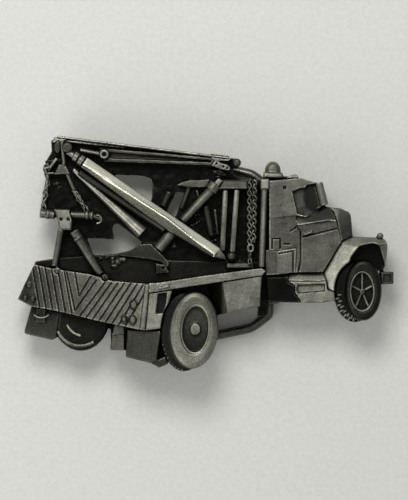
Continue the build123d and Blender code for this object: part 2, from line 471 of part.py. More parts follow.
# ---- Pins, knobs and round lamps ----
# node, centre, radius, height above the back, edge chamfer
pins = [
    ("fender_lamp", (41.9, 4.2), 0.75, 6.4, 0.25),
    ("mast_knobs", (6.2, -0.6), 1.05, 7.0, 0.5),
    ("mast_knobs", (7.5, 21.8), 1.0, 6.0, 0.4),
    ("boom_sheaves", (-33.2, 25.4), 1.2, 7.2, 0.25),
    ("jib_arm", (-24.4, 23.8), 1.3, 6.4, 0.2),
    ("left_leg", (-35.6, -4.1), 0.8, 7.0, 0.2),
    ("right_leg", (-24.1, -5.8), 0.9, 7.2, 0.2),
]

# ---- Wheel discs ----
# node, centre, half width, half height, turn, lip height, floor height, lip, hub half width,
# hub half height, hub height, number of spokes
dishes = [
    ("near_rear_wheel", (-2.5, -18.1), 3.6, 6.0, -4, 9.6, 7.6, 0.5, 1.2, 1.4, 9.0, 0),
    ("front_wheel", (37.5, -9.1), 3.1, 5.0, 0, 7.2, 5.8, 0.5, 0.6, 0.8, 6.9, spoke_count),
]

# Which form lies in front of which: each is cut round those before it.
front_to_back = [
    "near_rear_wheel", "near_rear_tyre", "corner_post", "right_leg", "left_leg", "tow_block", "tow_bar",
    "tailboard", "side_rail", "rear_side_panel", "side_box", "wheel_well", "near_mudflap",
    "frame_brackets", "far_mudflap", "far_rear_tyre", "front_wheel", "front_tyre", "fender_lamp",
    "fender", "wheel_arch", "bumper", "battery_box", "fuel_tank", "cab_step", "cab_sill",
    "windscreen_frame", "cab_side", "hood_side", "roof_lights", "near_boom", "boom_sheaves",
    "boom_links", "stay_rods", "tall_post", "mast_crossbar", "mast_knobs", "mast_posts", "mast_chain",
    "head_plates", "diagonal_brace", "near_boom_flank", "far_boom", "jib_arm", "sheave_straps",
    "hook_chains", "gusset_plate", "mast_base", "far_mast_frame", "deck_floor",
]

# Thin dark webs that join the forms, and the places where the casting is open.
webs = [
    [(-36.6, 19.4), (-33.5, 19.4), (-28.4, 10.2), (-29.0, 8.6), (-39.2, 8.8), (-38.9, 15.0), (-38.2, 19.4)],
    [(-36.1, 28.0), (-23.8, 26.8), (5.6, 23.0), (6.2, 20.6), (1.5, 21.6), (-29.0, 21.6), (-36.4, 22.4)],
    [(-38.6, 21.8), (-36.4, 22.4), (-36.1, 28.0), (-37.2, 27.1), (-37.1, 24.7)],
    [(-38.6, 21.2), (-33.0, 22.0), (-33.0, 19.0), (-38.4, 19.0)],
    [(-35.0, 5.6), (-31.3, 5.2), (-26.5, -4.0), (-36.2, -2.0)],
    [(-31.4, 20.0), (-29.0, 20.6), (-9.0, 6.6), (-12.6, 2.0), (-15.3, 5.4)],
    [(-31.4, 20.0), (-17.0, 4.0), (-27.6, 3.7), (-32.6, 6.0), (-33.0, 12.0)],
    [(-13.2, 22.0), (1.5, 21.6), (5.6, 20.4), (8.4, 17.8), (15.4, 17.8), (15.4, -4.8), (-12.0, -3.0), (-16.0, 3.0)],
    [(13.0, -4.8), (15.4, -4.8), (15.2, -11.4), (14.9, -15.0), (12.3, -15.3), (12.6, -12.6)],
    [(-23.0, -15.6), (-14.0, -18.0), (-14.0, -22.0), (-22.8, -22.6)],
    [(29.4, -9.0), (34.0, -8.6), (34.0, -12.0), (29.6, -11.0)],
    [(5.0, 23.2), (7.5, 22.8), (8.4, 21.4), (7.6, 20.4), (5.0, 20.2)],
    [(13.2, 17.0), (22.6, 17.0), (22.0, 18.6), (13.9, 18.6)],
]
openings = [
    [(-22.2, 19.0), (-15.3, 18.7), (-13.1, 18.0), (-12.8, 16.7), (-13.1, 9.0)],
    [(-7.2, 14.8), (-5.0, 14.8), (-7.6, 8.0), (-9.2, 8.0), (-9.2, 10.4)],
    [(-22.0, 7.1), (-21.1, 7.2), (-15.0, 2.4), (-18.2, 0.6), (-21.8, -0.1), (-27.0, -0.4), (-28.6, 3.7),
     (-21.9, 3.4), (-22.5, 5.9)],
]

pieces = {}       # node: bodies and grounds
makers = ((slab, slabs), (bar, bars), (chain, chains), (tyre, tyres), (drum, drums),
          (pin, pins), (dish, dishes))
for make, rows in makers:
    for node, *sizes in rows:
        pieces.setdefault(node, []).append(make(*sizes))


def over(one, other):
    """Whether the boxes round two grounds meet."""
    a, b = one.bounding_box(), other.bounding_box()
    return a.min.X < b.max.X and b.min.X < a.max.X and a.min.Y < b.max.Y and b.min.Y < a.max.Y


standing = []     # grounds already taken
columns = []      # and the room above them
for node in front_to_back:
    footings = [footing for body, footing in pieces[node]]
    taken = [column for ground, column in zip(standing, columns) if any(over(ground, foot) for foot in footings)]
    with BuildPart() as form:
        for body, footing in pieces[node]:
            add(body)
        if taken:
            add(taken, mode=Mode.SUBTRACT)
    with BuildPart() as casting:
        for solid in form.part.solids():
            if solid.volume > smallest_chip:
                add(solid)
    casting.part.label = node
    export_step(casting.part, f"parts/{node}.step")
    standing += footings
    columns += [extrude(footing, amount=stand_height + tallest_form, mode=Mode.PRIVATE) for footing in footings]

# ---- The web: one thin plate behind all the forms, open in three places ----
with BuildSketch() as joined:
    add(standing)
    for outline in webs:
        add(ground_of(outline))
silhouette = Face(joined.sketch.faces().sort_by(SortBy.AREA)[-1].outer_wire())
with BuildPart() as web:
    with BuildSketch(Plane.XY.offset(stand_height)):
        add(silhouette)
        for outline in openings:
            add(ground_of(outline) - standing, mode=Mode.SUBTRACT)
    extrude(amount=web_wall)
web.part.label = "web"
export_step(web.part, "parts/web.step")

# ---- Back: belt peg and the two lugs that hold the bail ----
with BuildPart() as belt_peg:
    with Locations((stud_x, bail_axis_y, 0)):
        Cylinder(stud_radius, stand_height, align=(Align.CENTER, Align.CENTER, Align.MIN))
    chamfer(belt_peg.edges().sort_by(Axis.Z)[0], stud_chamfer)
belt_peg.part.label = "belt_peg"
export_step(belt_peg.part, "parts/belt_peg.step")

for node, side in (("upper_lug", 1), ("lower_lug", -1)):
    lug_face = Plane(origin=(bail_axis_x, bail_axis_y + side * lug_inner, hinge_height),
                     x_dir=(1, 0, 0), z_dir=(0, side, 0))
    rise = (stand_height - hinge_height) * lug_face.y_dir.Z
    with BuildPart() as lug:
        with BuildSketch(lug_face):
            Circle(hinge_height)
            with Locations((0, rise / 2)):
                Rectangle(2 * hinge_height, abs(rise))
            Circle(wire_radius + pin_clearance, mode=Mode.SUBTRACT)
        extrude(amount=lug_outer - lug_inner)
    lug.part.label = node
    export_step(lug.part, f"parts/{node}.step")

# ---- Bail: one bent wire, its ends turned in to the lugs, folded under the truck ----
droop = asin((hinge_height - wire_radius - table_clearance) / bail_reach)
bail_plane = Plane(origin=(bail_axis_x, bail_axis_y, hinge_height),
                   x_dir=(-cos(droop), 0, -sin(droop)), z_dir=(sin(droop), 0, -cos(droop)))
half_bail = [(0, lug_inner + pin_recess), (0, bail_neck_half), (bail_shoulder, bail_shoulder_half),
             (bail_reach, bail_half_width)]
corner_radii = [1.6, 5.0, 3.6]
with BuildPart() as bail:
    with BuildLine(bail_plane) as wire_line:
        mirrored = [(reach, -half) for reach, half in reversed(half_bail)]
        FilletPolyline(*half_bail, *mirrored, radius=corner_radii + corner_radii[::-1])
    with BuildSketch(Plane(origin=wire_line.line @ 0, z_dir=wire_line.line % 0)):
        Circle(wire_radius)
    sweep()
bail.part.label = "bail"
export_step(bail.part, "parts/bail.step")
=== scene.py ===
import json
import math
import random

import bpy
from mathutils import Matrix, Vector

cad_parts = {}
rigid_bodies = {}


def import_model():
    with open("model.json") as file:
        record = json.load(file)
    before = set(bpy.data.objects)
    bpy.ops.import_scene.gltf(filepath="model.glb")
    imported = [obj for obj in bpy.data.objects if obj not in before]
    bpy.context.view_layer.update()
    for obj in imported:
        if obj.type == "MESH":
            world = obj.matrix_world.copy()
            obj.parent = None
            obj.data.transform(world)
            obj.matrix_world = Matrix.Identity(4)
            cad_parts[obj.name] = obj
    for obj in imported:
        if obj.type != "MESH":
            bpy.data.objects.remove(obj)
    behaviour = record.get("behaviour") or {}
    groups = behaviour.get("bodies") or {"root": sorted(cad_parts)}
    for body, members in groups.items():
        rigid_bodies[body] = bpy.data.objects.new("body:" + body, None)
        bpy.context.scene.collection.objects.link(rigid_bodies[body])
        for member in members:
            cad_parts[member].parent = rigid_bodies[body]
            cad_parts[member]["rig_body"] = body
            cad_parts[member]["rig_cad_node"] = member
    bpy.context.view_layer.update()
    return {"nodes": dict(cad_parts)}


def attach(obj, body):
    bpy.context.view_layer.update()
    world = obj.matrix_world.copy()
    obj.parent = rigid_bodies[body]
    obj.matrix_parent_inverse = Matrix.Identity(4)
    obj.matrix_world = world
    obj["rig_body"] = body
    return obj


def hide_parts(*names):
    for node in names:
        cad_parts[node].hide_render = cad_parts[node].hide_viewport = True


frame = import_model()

mm = 0.001      # places and sizes of pieces are written in millimetres, lamps and camera in metres
print("frame loaded:", len(frame["nodes"]), "nodes")

# straight down on the buckle, as it lies on the paper
view = {
    "pixel": 0.24 * mm,          # how much of the paper one pixel covers
    "image": (408, 500),
    "aim": (-0.42 * mm, 0.84 * mm),
    "aimHeight": 12 * mm,
    "distance": 1.2,
    "sensor": 36,
    "clip": (0.01, 20),
}


def addCamera():
    camData = bpy.data.cameras.new("camera")
    cam = bpy.data.objects.new("camera", camData)
    bpy.context.scene.collection.objects.link(cam)
    cam.location = (*view["aim"], view["aimHeight"] + view["distance"])
    camData.sensor_width = view["sensor"]
    camData.lens = view["sensor"] * view["distance"] / (max(view["image"]) * view["pixel"])
    camData.clip_start, camData.clip_end = view["clip"]
    bpy.context.scene.camera = cam
    print("camera placed")


light = {
    "lamps": [
        # name, place, size, watts, tint
        ("window", (-0.06, 0.25, 0.41), 0.22, 1.32, (1.0, 0.995, 0.97)),
        ("side_window", (-0.24, -0.21, 0.40), 0.18, 0.17, (1.0, 0.99, 0.97)),
        ("card", (-0.25, -0.24, 0.18), 0.34, 0.40, (1.0, 0.99, 0.97)),
        ("ceiling", (0.02, 0.06, 0.55), 0.70, 0.22, (1.0, 1.0, 0.99)),
    ],
    "sky": (0.80, 0.81, 0.82),
    "skyStrength": 0.45,
}


def addLights():
    for name, where, size, watts, tint in light["lamps"]:
        lampData = bpy.data.lights.new(name, "AREA")
        lampData.shape = "DISK"
        lampData.size = size
        lampData.energy = watts
        lampData.color = tint
        lamp = bpy.data.objects.new(name, lampData)
        bpy.context.scene.collection.objects.link(lamp)
        lamp.location = where
        lamp.visible_camera = False
        lamp.rotation_euler = (-Vector(where)).to_track_quat("-Z", "Y").to_euler()
    world = bpy.data.worlds.new("studio")
    bpy.context.scene.world = world
    world.use_nodes = True
    back = world.node_tree.nodes["Background"]
    back.inputs["Color"].default_value = (*light["sky"], 1)
    back.inputs["Strength"].default_value = light["skyStrength"]
    print("lamps placed:", len(light["lamps"]))


def pickNothing():
    if bpy.context.object and bpy.context.object.mode != "OBJECT":
        bpy.ops.object.mode_set(mode="OBJECT")
    bpy.ops.object.select_all(action="DESELECT")


# shader nodes, each helper gives the socket that carries its result
def newMaterial(name):
    mat = bpy.data.materials.new(name)
    mat.use_nodes = True
    nodes, links = mat.node_tree.nodes, mat.node_tree.links
    return mat, nodes, links, nodes["Principled BSDF"]


def grey(value):
    return (value, value, value)


def ramp(nodes, links, source, stops):
    node = nodes.new("ShaderNodeValToRGB")
    marks = node.color_ramp.elements
    for mark, (position, shade) in zip(marks, stops):
        mark.position = position
        mark.color = (*(grey(shade) if isinstance(shade, float) else shade), 1)
    links.new(source, node.inputs[0])
    return node.outputs[0]


def mix(nodes, links, kind, factor, a, b):
    node = nodes.new("ShaderNodeMix")
    node.data_type = "RGBA"
    node.blend_type = kind
    node.clamp_result = True
    for socket, value in ((node.inputs[0], factor), (node.inputs[6], a), (node.inputs[7], b)):
        if hasattr(value, "links"):
            links.new(value, socket)
        elif isinstance(value, (int, float)):
            socket.default_value = value
        else:
            socket.default_value = (*value, 1)
    return node.outputs[2]


def noise(nodes, links, where, scale, detail, rough):
    node = nodes.new("ShaderNodeTexNoise")
    node.inputs["Scale"].default_value = scale
    node.inputs["Detail"].default_value = detail
    node.inputs["Roughness"].default_value = rough
    links.new(where, node.inputs["Vector"])
    return node.outputs["Fac"]


def streaks(nodes, links, coords, angle, along, across):
    turn = nodes.new("ShaderNodeMapping")
    turn.inputs["Rotation"].default_value = (0, 0, math.radians(-angle))
    links.new(coords, turn.inputs["Vector"])
    stretch = nodes.new("ShaderNodeMapping")
    stretch.inputs["Scale"].default_value = (along, across, across)
    links.new(turn.outputs[0], stretch.inputs["Vector"])
    return noise(nodes, links, stretch.outputs[0], 1, 2, 0.55)


def mapRange(nodes, links, source, fromLow, fromHigh, toLow, toHigh):
    node = nodes.new("ShaderNodeMapRange")
    node.inputs["From Min"].default_value = fromLow
    node.inputs["From Max"].default_value = fromHigh
    node.inputs["To Min"].default_value = toLow
    node.inputs["To Max"].default_value = toHigh
    links.new(source, node.inputs["Value"])
    return node.outputs[0]


def heightOf(nodes, links, vector):
    node = nodes.new("ShaderNodeSeparateXYZ")
    links.new(vector, node.inputs[0])
    return node.outputs["Z"]


def slope(nodes, links, coords, start, end, low, high):      # low at the start, high at the end
    first = Vector((*start, 0)) * mm
    run = Vector((*end, 0)) * mm - first
    node = nodes.new("ShaderNodeVectorMath")
    node.operation = "DOT_PRODUCT"
    links.new(coords, node.inputs[0])
    node.inputs[1].default_value = run / run.length_squared
    begin = first.dot(run) / run.length_squared
    return mapRange(nodes, links, node.outputs["Value"], begin, begin + 1, low, high)


def ball(nodes, links, coords, centre, radii, angle):      # 1 in the middle, 0 at the radii and past them
    spot = nodes.new("ShaderNodeMapping")
    spot.vector_type = "TEXTURE"
    spot.inputs["Location"].default_value = [part * mm for part in centre]
    spot.inputs["Rotation"].default_value = (0, 0, math.radians(angle))
    spot.inputs["Scale"].default_value = [part * mm for part in radii]
    links.new(coords, spot.inputs["Vector"])
    fall = nodes.new("ShaderNodeTexGradient")
    fall.gradient_type = "SPHERICAL"
    links.new(spot.outputs[0], fall.inputs["Vector"])
    return fall.outputs["Fac"]


def openness(nodes, distance, samples, inward=False):      # looking inward it finds edges, outward it finds hollows
    node = nodes.new("ShaderNodeAmbientOcclusion")
    node.inside = node.only_local = inward
    node.samples = samples
    node.inputs["Distance"].default_value = distance
    return node.outputs["AO"]


pewterLook = {
    "patina": (0.006, 0.006, 0.005),  # black sulphide left in the hollows
    "tint": (1.0, 0.995, 0.82),        # pewter is a warm, faintly green grey
    "back": 0.20,                      # the bare metal of the back
    "drift": (240, 4, 0.6),            # slow clouds of patina: scale per metre, detail, roughness
    "grain": (3400, 2, 0.65),          # cast and tumbled grain
    "brush": (300, 3600),              # linen marks of the buff, along and across, per metre
    "hollow": (1.5 * mm, 12),          # how wide a hollow keeps its patina, and samples
    "edge": (0.45 * mm, 8),            # how far in from an edge the buff has worn it, and samples
    "bump": 0.045 * mm,
    "deepGloss": 0.04,                 # patina is dull
    # where on each pattern the darker and the lighter tone stand
    "clouds": (0.32, 0.68),
    "linen": (0.38, 0.60),
    "specks": (0.36, 0.58),
    "spot": (0.02, 0.22),
    "rubbing": ((0.40, 0.35), (0.62, 1.0)),
    "wall": (0.15, 0.55),              # how level a face is for the buff to reach it
    "under": (0.30, 0.60),             # how far down a face looks to be part of the back
    "roughness": ((0.3, 0.9), (0.7, 1.25)),
    "grainInBump": 0.6,
}


def pewter(name, face, worn, rough=0.40, metal=0.80, brush=0.0, cloudy=0.45, grainy=0.35, weave=0.30,
           fade=None, steep=0.60, hold=(0.30, 0.84), rub=(0.64, 0.90), gloss=0.5, lumpy=0.4,
           proud=None, patches=()):
    look = pewterLook
    mat, nodes, links, shader = newMaterial(name)

    def between(source, places, dark, pale):
        return ramp(nodes, links, source, [(places[0], dark), (places[1], pale)])

    def times(a, b):
        return mix(nodes, links, "MULTIPLY", 1.0, a, b)

    def tone(value):
        return [value * part for part in look["tint"]]

    coords = nodes.new("ShaderNodeTexCoord").outputs["Object"]
    drift = noise(nodes, links, coords, *look["drift"])
    grain = noise(nodes, links, coords, *look["grain"])
    along = streaks(nodes, links, coords, brush, *look["brush"])
    across = streaks(nodes, links, coords, brush + 90, *look["brush"])
    linen = mix(nodes, links, "MIX", 0.5, along, across)

    colour = times(tone(face), between(drift, look["clouds"], 1 - cloudy, 1.0))
    colour = times(colour, between(linen, look["linen"], 1 - weave, 1.0))
    colour = times(colour, between(grain, look["specks"], 1 - grainy, 1.0))
    if fade:      # painted light and shade: one end of the form painted lighter, the other darker, as light falls across it
        colour = times(colour, slope(nodes, links, coords, *fade))
    for centre, radii, angle, dark in patches:      # places painted blacker than the rest, among them painted shade in the window panes
        colour = times(colour, between(ball(nodes, links, coords, centre, radii, angle), look["spot"], 1.0, dark))

    edges = between(openness(nodes, *look["edge"], inward=True), rub, 1.0, 0.0)
    rubbed = times(edges, ramp(nodes, links, drift, look["rubbing"]))
    colour = mix(nodes, links, "MIX", rubbed, colour, tone(worn))
    if proud:      # the buff reaches only what stands above the first height
        low, high, dark = proud
        height = heightOf(nodes, links, coords)
        colour = times(colour, mapRange(nodes, links, height, low * mm, high * mm, dark, 1))

    # the buff does not reach steep walls, nor is the plain back of the casting blackened
    upward = heightOf(nodes, links, nodes.new("ShaderNodeNewGeometry").outputs["Normal"])
    colour = times(colour, between(upward, look["wall"], steep, 1.0))
    downward = nodes.new("ShaderNodeMath")
    downward.operation = "MULTIPLY"
    downward.inputs[1].default_value = -1
    links.new(upward, downward.inputs[0])
    under = between(downward.outputs[0], look["under"], 0.0, 1.0)
    colour = mix(nodes, links, "MIX", under, colour, tone(look["back"]))

    clean = between(openness(nodes, *look["hollow"]), hold, 0.0, 1.0)
    colour = mix(nodes, links, "MIX", clean, look["patina"], colour)
    links.new(colour, shader.inputs["Base Color"])

    spread = [(position, part * rough) for position, part in look["roughness"]]
    links.new(ramp(nodes, links, grain, spread), shader.inputs["Roughness"])
    shader.inputs["Metallic"].default_value = metal
    shine = mix(nodes, links, "MIX", clean, grey(look["deepGloss"]), grey(gloss))
    links.new(shine, shader.inputs["Specular IOR Level"])
    bump = nodes.new("ShaderNodeBump")
    bump.inputs["Strength"].default_value = lumpy
    bump.inputs["Distance"].default_value = look["bump"]
    links.new(mix(nodes, links, "ADD", look["grainInBump"], grain, linen), bump.inputs["Height"])
    links.new(bump.outputs[0], shader.inputs["Normal"])
    return mat


paper = {
    "fibre": (900, 4, 0.6),
    "tones": ((0.3, (0.64, 0.64, 0.605)), (0.7, (0.70, 0.70, 0.665))),
    "roughness": 0.7,
    "size": 3,      # metres
}


def addFloor():
    mat, nodes, links, shader = newMaterial("pale_paper")
    coords = nodes.new("ShaderNodeTexCoord").outputs["Object"]
    fibres = noise(nodes, links, coords, *paper["fibre"])
    links.new(ramp(nodes, links, fibres, paper["tones"]), shader.inputs["Base Color"])
    shader.inputs["Roughness"].default_value = paper["roughness"]
    pickNothing()
    bpy.ops.mesh.primitive_plane_add(size=paper["size"], location=(0, 0, 0))
    sheet = bpy.context.object
    sheet.name = "floor"
    sheet.data.materials.append(mat)
    print("paper laid")


finishes = {
    "satin": {"face": 0.172, "worn": 0.37},
    # polished metal, its face tone raised high as a painted highlight
    "bright": {"face": 0.98, "worn": 1.0, "rough": 0.24, "metal": 0.95, "cloudy": 0.20, "grainy": 0.06,
               "weave": 0.10, "steep": 0.10, "hold": (0.20, 0.62), "lumpy": 0.03},
    "rod": {"face": 0.26, "worn": 0.62, "rough": 0.28, "grainy": 0.2},
    "dark": {"face": 0.082, "worn": 0.25, "gloss": 0.25},
    "black": {"face": 0.009, "worn": 0.10, "cloudy": 0.6, "gloss": 0.22, "rough": 0.30, "lumpy": 0.9},
    "bare": {"face": 0.25, "worn": 0.42, "steep": 1.0},
    "wire": {"face": 0.16, "worn": 0.50, "rough": 0.26, "metal": 0.95, "steep": 1.0},
}
mixed = {}      # the materials made so far, because many pieces share one


def finishOf(spec):
    recipe = dict(finishes[spec["finish"]])
    recipe["face"] *= spec.get("tone", 1.0)
    for part in ("brush", "fade", "worn", "proud", "patches", "cloudy", "hold", "lumpy"):
        if part in spec:
            recipe[part] = spec[part]
    key = spec["finish"] + "_" + "_".join(str(recipe[part]) for part in sorted(recipe))
    if key not in mixed:
        mixed[key] = pewter("%s_pewter_%02d" % (spec["finish"], len(mixed)), **recipe)
    return mixed[key]


# places on a form painted blacker than the rest: middle, radii, turn, tone; the window panes are painted shade, the
# left pane grey and the right one black
patchy = {
    "panes": (((22.3, 12.6, 13.2), (3.0, 5.0, 1.5), 0, 0.45), ((26.2, 13.4, 13.0), (3.4, 5.4, 1.7), 0, 0.03)),
    "hoodTop": (((27.2, 9.6, 14.6), (6.4, 2.9, 3.0), 0, 0.36),),
    "pivotEye": (((-24.35, 23.8, 13.4), (0.62, 0.62, 1.5), 0, 0.10),),
    "slotHole": (((-10.6, -11.9, 16.4), (2.0, 3.6, 1.3), 0, 0.04),),
}

# every cast form is rounded over as tumbled pewter is: voxel and wander are in millimetres, keep is the
# share of its faces left, the painted light and shade along a form is two places and the tone at each, proud is two
# heights and the tone below
dressing = {
    "default": {"voxel": 0.16, "smooth": 3, "wander": 0.05, "keep": 0.40, "finish": "satin", "slot": "pewter"},
    "web": {"voxel": 0.26, "keep": 0.5, "wander": 0.25, "finish": "black", "slot": "pewter_shadow"},
    "deck_floor": {"finish": "black", "tone": 2.2},
    # booms and their rigging
    # the near boom: polished, and painted brighter as a highlight
    "near_boom": {"voxel": 0.14, "smooth": 36, "wander": 0.02, "finish": "bright", "slot": "pewter_bright",
                  "brush": -34},
    # the near boom's lower side, painted dark as shade
    "near_boom_flank": {"finish": "dark", "tone": 0.8},
    "far_boom": {"finish": "rod", "tone": 1.9, "brush": -43},
    "stay_rods": {"finish": "rod", "tone": 0.8, "worn": 0.40, "brush": -7},
    "boom_links": {"voxel": 0.12, "smooth": 2, "tone": 1.4},
    "boom_sheaves": {"finish": "dark", "tone": 1.1},
    "jib_arm": {"finish": "dark", "patches": patchy["pivotEye"]},
    "head_plates": {"tone": 1.3},
    "hook_chains": {"voxel": 0.10, "smooth": 1},
    "diagonal_brace": {"tone": 1.7, "brush": 47},
    "gusset_plate": {"finish": "dark", "tone": 0.55},
    "mast_base": {"finish": "dark"},
    "mast_crossbar": {"finish": "dark", "tone": 1.2},
    "mast_knobs": {"finish": "dark", "tone": 1.2},
    "far_mast_frame": {"finish": "dark"},
    "tall_post": {"tone": 1.9, "hold": (0.15, 0.60)},
    # rear body
    "tailboard": {"voxel": 0.12, "smooth": 2, "brush": 60, "fade": ((-43, -8), (-15, -12), 0.30, 1.70)},
    "side_rail": {"voxel": 0.13, "smooth": 2, "tone": 1.7},
    "rear_side_panel": {"tone": 3.0, "patches": patchy["slotHole"]},
    "side_box": {"tone": 1.9, "fade": ((3.6, 0), (4.4, 0), 0.12, 1.0)},
    "corner_post": {"tone": 2.2},
    "wheel_well": {"finish": "black"},
    "near_rear_tyre": {"tone": 1.30, "proud": (15.8, 16.5, 0.05), "cloudy": 0.25,
                       "fade": ((-8, -21), (-2, -10), 1.45, 0.70)},
    "near_rear_wheel": {"tone": 1.7, "worn": 0.5, "proud": (15.3, 16.3, 0.16),
                        "fade": ((-4.5, -21.5), (-0.8, -14.0), 0.6, 1.9)},
    "far_rear_tyre": {"finish": "dark", "tone": 0.22, "smooth": 8},
    "near_mudflap": {"tone": 0.55},
    "far_mudflap": {"tone": 0.55, "fade": ((-40, -20), (-40, -14), 0.9, 0.2)},
    # cab and front end
    "cab_side": {"voxel": 0.13, "smooth": 2, "brush": 90, "tone": 0.86, "fade": ((18, 16), (27, 0), 0.74, 1.12),
                 "patches": patchy["panes"] + patchy["hoodTop"]},
    "windscreen_frame": {"voxel": 0.12, "smooth": 2, "tone": 1.5, "worn": 0.55},
    "roof_lights": {"smooth": 5, "tone": 1.3},
    "hood_side": {"smooth": 36, "tone": 0.95, "fade": ((33, 11), (33, 5), 1.3, 0.7)},
    "fender": {"voxel": 0.18, "smooth": 80, "keep": 0.6, "tone": 2.7, "fade": ((40, 3), (31, -5), 0.64, 1.75)},
    "battery_box": {"voxel": 0.13, "smooth": 2, "brush": 90, "tone": 1.32,
                    "fade": ((16.9, 0), (17.7, 0), 0.72, 1.0)},
    "fuel_tank": {"finish": "black"},
    "cab_step": {"tone": 1.2},
    "wheel_arch": {"finish": "black"},
    "front_tyre": {"tone": 0.13, "worn": 0.10, "proud": (13.3, 14.1, 0.12)},
    "front_wheel": {"voxel": 0.12, "tone": 0.75, "proud": (12.9, 13.7, 0.12)},
    "bumper": {"finish": "dark"},
    # back
    "bail": {"voxel": 0.25, "wander": 0.0, "finish": "wire", "slot": "steel_wire"},
    "belt_peg": {"voxel": 0.25, "wander": 0.0, "finish": "bare"},
    "upper_lug": {"voxel": 0.25, "wander": 0.0, "finish": "bare"},
    "lower_lug": {"voxel": 0.25, "wander": 0.0, "finish": "bare"},
}
tumbling = {"merge": 0.0001, "smoothing": 0.5, "swellLevel": 0.6, "markSize": 1.6, "markDepth": 2}


def cloudTexture(name, size, depth):
    texture = bpy.data.textures.new(name, "CLOUDS")
    texture.noise_scale = size * mm
    texture.noise_depth = depth
    return texture


def dress(node, handMark):
    spec = {**dressing["default"], **dressing.get(node, {})}
    pickNothing()
    source = frame["nodes"][node]
    source.select_set(True)
    bpy.context.view_layer.objects.active = source
    bpy.ops.object.duplicate()
    piece = bpy.context.object
    piece.name = "cast_" + node
    del piece["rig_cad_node"]
    piece.data.materials.clear()
    piece.data.materials.append(finishOf(spec))
    bpy.ops.object.mode_set(mode="EDIT")
    bpy.ops.mesh.select_all(action="SELECT")
    bpy.ops.mesh.remove_doubles(threshold=tumbling["merge"] * mm)
    bpy.ops.object.mode_set(mode="OBJECT")

    shell = piece.modifiers.new("shell", "REMESH")
    shell.mode = "VOXEL"
    shell.voxel_size = spec["voxel"] * mm
    shell.use_smooth_shade = True
    tumble = piece.modifiers.new("tumble", "SMOOTH")
    tumble.factor = tumbling["smoothing"]
    tumble.iterations = spec["smooth"]
    if spec["wander"]:
        swell = piece.modifiers.new("swell", "DISPLACE")
        swell.texture = handMark
        swell.texture_coords = "LOCAL"
        swell.strength = spec["wander"] * mm
        swell.mid_level = tumbling["swellLevel"]
    thin = piece.modifiers.new("thin", "DECIMATE")
    thin.ratio = spec["keep"]
    for name in [modifier.name for modifier in piece.modifiers]:
        bpy.ops.object.modifier_apply(modifier=name)
    bpy.ops.object.shade_smooth()
    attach(piece, source["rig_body"])
    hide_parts(node)
    return piece


def addCastForms():
    handMark = cloudTexture("hand_mark", tumbling["markSize"], tumbling["markDepth"])
    madeByHand = ("mast_chain", "mast_posts")
    pieces = [dress(node, handMark) for node in sorted(frame["nodes"]) if node not in madeByHand]
    print("cast forms dressed:", len(pieces), "faces:", sum(len(piece.data.polygons) for piece in pieces))


# what the pieces modelled by hand share
def select(mesh, test):
    for v in mesh.vertices:
        v.select = test(v.co)
    for e in mesh.edges:
        e.select = all(mesh.vertices[i].select for i in e.vertices)
    for f in mesh.polygons:
        f.select = all(mesh.vertices[i].select for i in f.vertices)


def place(piece, where, heading=0, roll=0, tip=0):
    turn = Matrix.Rotation(math.radians(heading), 4, "Z") @ Matrix.Rotation(math.radians(tip), 4, "Y")
    piece.matrix_world = Matrix.Translation(Vector(where) * mm) @ turn @ Matrix.Rotation(math.radians(roll), 4, "X")


def copyOf(piece):
    pickNothing()
    piece.select_set(True)
    bpy.context.view_layer.objects.active = piece
    bpy.ops.object.duplicate()
    return bpy.context.object


def topOf(node, x, y):      # how high the cast form stands there
    overAll = 40
    cast = bpy.data.objects["cast_" + node]
    hit, where, _, _ = cast.ray_cast(Vector((x, y, overAll)) * mm, Vector((0, 0, -1)))
    return where.z / mm


def settle(name, parts, spec, instead=()):
    flatBelow = 40      # degrees
    pickNothing()
    for part in parts:
        part.select_set(True)
    bpy.context.view_layer.objects.active = parts[0]
    if len(parts) > 1:
        bpy.ops.object.join()
    bpy.ops.object.transform_apply(location=True, rotation=True, scale=True)
    piece = bpy.context.object
    piece.name = name
    piece.data.materials.clear()
    piece.data.materials.append(finishOf(spec))
    bpy.ops.object.shade_smooth_by_angle(angle=math.radians(flatBelow))
    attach(piece, "casting")
    if instead:
        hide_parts(*instead)
    print(name, "made, faces:", len(piece.data.polygons))
    return piece


def makeLink(length, width, wire, rings, sides):
    pickNothing()
    bpy.ops.mesh.primitive_torus_add(major_segments=rings, minor_segments=sides, location=(0, 0, 0),
                                     major_radius=(width - wire) / 2 * mm, minor_radius=wire / 2 * mm)
    link = bpy.context.object
    pull = (length - width) / 2 * mm
    for side in (1, -1):       # a ring drawn out into a link
        select(link.data, lambda co: co.x * side > 0)
        bpy.ops.object.mode_set(mode="EDIT")
        bpy.ops.transform.translate(value=(side * pull, 0, 0))
        bpy.ops.object.mode_set(mode="OBJECT")
    return link


def layStrands(link, spec):      # every other link lies the other way
    made = []
    for start, end, height, roll, swing in spec["strands"]:
        first, run = Vector(start), Vector(end) - Vector(start)
        heading = math.degrees(math.atan2(run.y, run.x))
        count = int(run.length / spec["pitch"]) + 1
        for number in range(count):
            where = first + run * (number / (count - 1))
            ring = copyOf(link)
            if number % 2:
                place(ring, (where.x, where.y, height), heading + swing, roll)
            else:
                place(ring, (where.x, where.y, height), heading - swing, roll + spec["lean"])
            made.append(ring)
    return made


